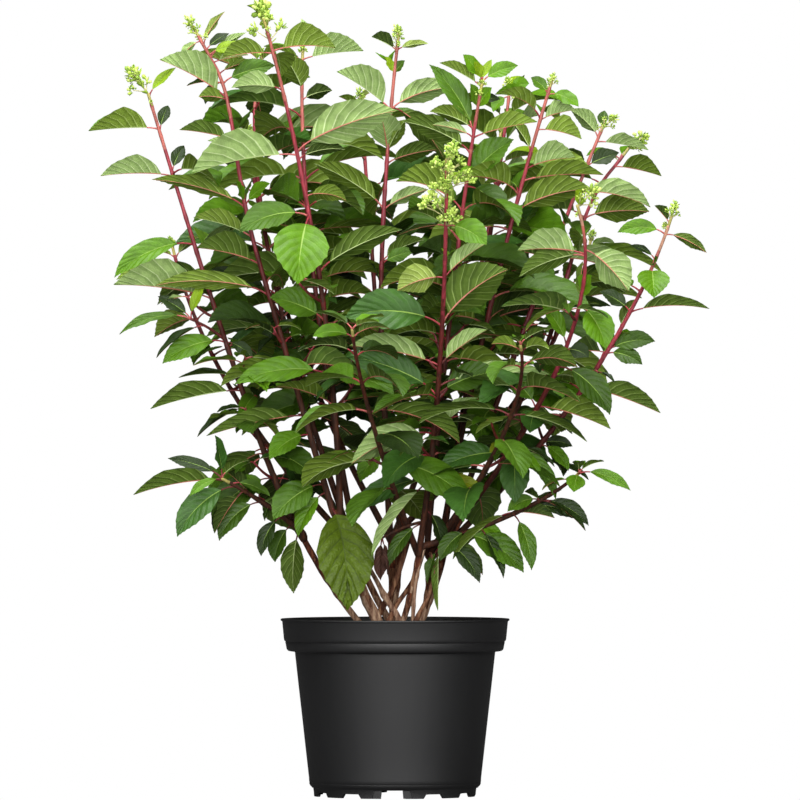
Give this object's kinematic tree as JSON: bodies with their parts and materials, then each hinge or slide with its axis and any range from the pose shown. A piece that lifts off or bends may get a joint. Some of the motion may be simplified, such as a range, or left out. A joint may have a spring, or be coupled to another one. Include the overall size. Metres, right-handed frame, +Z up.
{
  "type": "hydrangea shrub in nursery pot",
  "caption": "Multi-stemmed panicle hydrangea shrub with red shoots, opposite leaves and green flower buds, growing in a round black nursery container.",
  "frame": {"origin": "on the ground under the axis of the container, which is the middle of the plant's spread to within a few millimetres", "axes": "+Z up, -Y the front of the shrub, +X to the right seen from the front"},
  "size_m": [0.6986, 0.5961, 0.9],
  "materials": {
    "pot": "satin black moulded polypropylene",
    "compost": "loose dark brown peat compost",
    "bark": "fine peeling brown bark",
    "young_stem": "smooth red stem with pale lenticels",
    "foliage": "matt green leaves with paler undersides",
    "flower_bud": "yellow-green flower buds"
  },
  "bodies": {
    "root": {"compost": "compost", "foliage_back_centre": "foliage", "foliage_back_left": "foliage", "foliage_back_outer": "foliage", "foliage_back_right": "foliage", "foliage_centre": "foliage", "foliage_front_centre": "foliage", "foliage_front_left": "foliage", "foliage_front_right": "foliage", "foliage_left_back": "foliage", "foliage_left_back_outer": "foliage", "foliage_left_far": "foliage", "foliage_left_low": "foliage", "foliage_left_mid": "foliage", "foliage_left_outer": "foliage", "foliage_left_tall": "foliage", "foliage_right_back": "foliage", "foliage_right_far": "foliage", "foliage_right_front": "foliage", "foliage_right_inner": "foliage", "foliage_right_low": "foliage", "foliage_right_mid": "foliage", "foliage_right_outer": "foliage", "foliage_right_tall": "foliage", "limb_back": "bark", "limb_centre": "bark", "limb_front": "bark", "limb_left_back": "bark", "limb_left_front": "bark", "limb_left_outer": "bark", "limb_right_front": "bark", "limb_right_outer": "bark", "pot": "pot", "shoot_back_centre": "young_stem", "shoot_back_left": "young_stem", "shoot_back_outer": "young_stem", "shoot_back_right": "young_stem", "shoot_centre": "young_stem", "shoot_front_centre": "young_stem", "shoot_front_left": "young_stem", "shoot_front_right": "young_stem", "shoot_left_back": "young_stem", "shoot_left_back_outer": "young_stem", "shoot_left_far": "young_stem", "shoot_left_low": "young_stem", "shoot_left_mid": "young_stem", "shoot_left_outer": "young_stem", "shoot_left_tall": "young_stem", "shoot_right_back": "young_stem", "shoot_right_far": "young_stem", "shoot_right_front": "young_stem", "shoot_right_inner": "young_stem", "shoot_right_low": "young_stem", "shoot_right_mid": "young_stem", "shoot_right_outer": "young_stem", "shoot_right_tall": "young_stem"}
  },
  "joints": []
}
